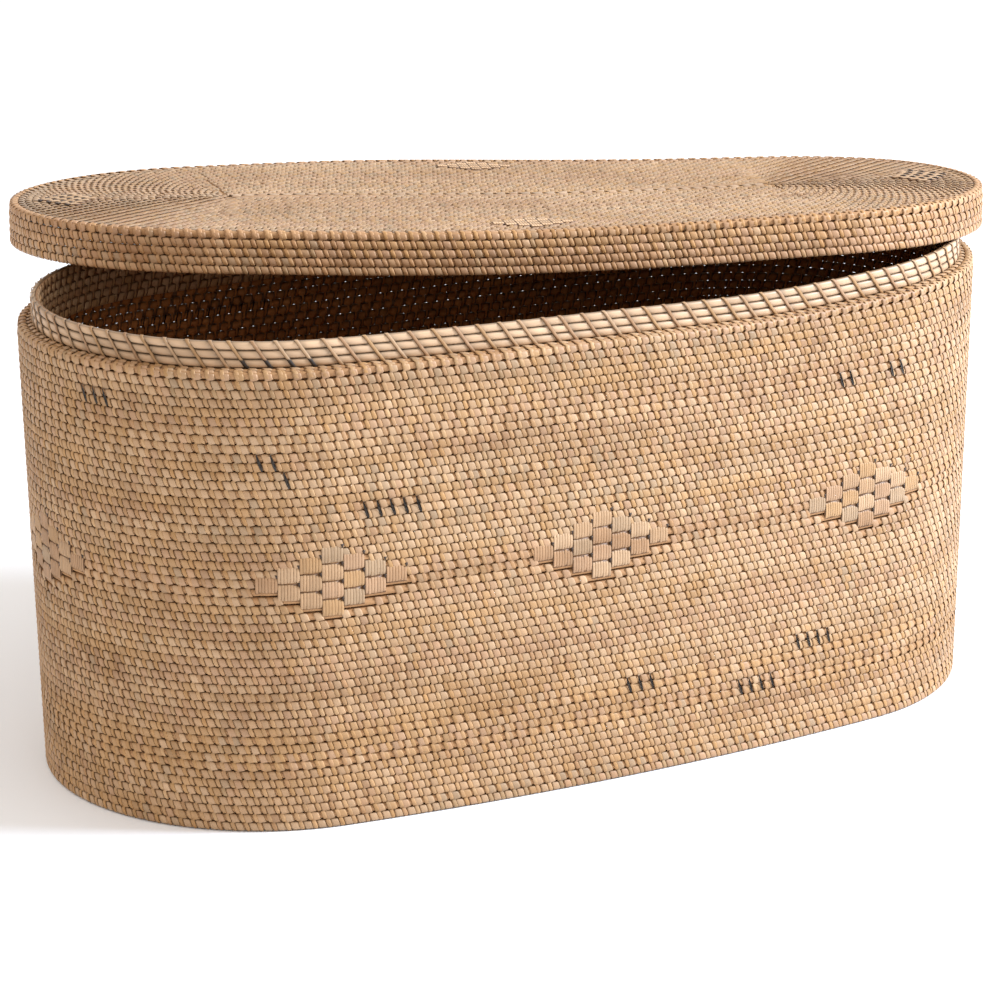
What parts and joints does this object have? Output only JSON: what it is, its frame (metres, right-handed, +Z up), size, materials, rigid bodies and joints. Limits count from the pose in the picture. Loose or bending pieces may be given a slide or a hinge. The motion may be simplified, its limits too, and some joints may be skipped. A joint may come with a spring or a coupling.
{
  "type": "wicker storage coffee table",
  "caption": "Oval storage trunk of coiled rattan with a lift-off lid, used as a low table; the lid lies askew on the open trunk.",
  "frame": {"origin": "on the floor under the middle of the trunk's base", "axes": "+X along the trunk, +Y towards the back, +Z up; the lid is askew, so it is not centred on them"},
  "size_m": [1.0117, 0.6741, 0.5082],
  "materials": {
    "wall_weave": "matte woven rattan peel",
    "base_weave": "matte woven rattan peel",
    "lid_weave": "matte woven rattan peel, slightly greyer",
    "diamond_peel": "satin rattan peel",
    "ornament_peel": "satin rattan peel",
    "rim_cane": "satin peeled cane",
    "lashing": "satin rattan peel",
    "cane": "matte peeled cane"
  },
  "bodies": {
    "basket": {"foot_ring": "wall_weave", "base_slats": "cane", "base_panel": "base_weave", "base_core": "cane", "wall": "wall_weave", "wall_diamonds": "diamond_peel", "shoulder_ring": "wall_weave", "rim_collar": "cane", "rim_rail_lower": "rim_cane", "rim_rail_middle": "rim_cane", "rim_rail_upper": "rim_cane", "rim_lashing": "lashing"},
    "lid": {"lid_top": "lid_weave", "lid_core": "lid_weave", "lid_skirt": "lid_weave", "lid_edge_ring": "lid_weave", "lid_battens": "cane", "lid_ornaments": "ornament_peel"}
  },
  "joints": [
    {"name": "lid_lift", "type": "slide", "parent": "basket", "child": "lid", "axis": [0, 0, 1], "range_m": [0, 0.3]}
  ]
}
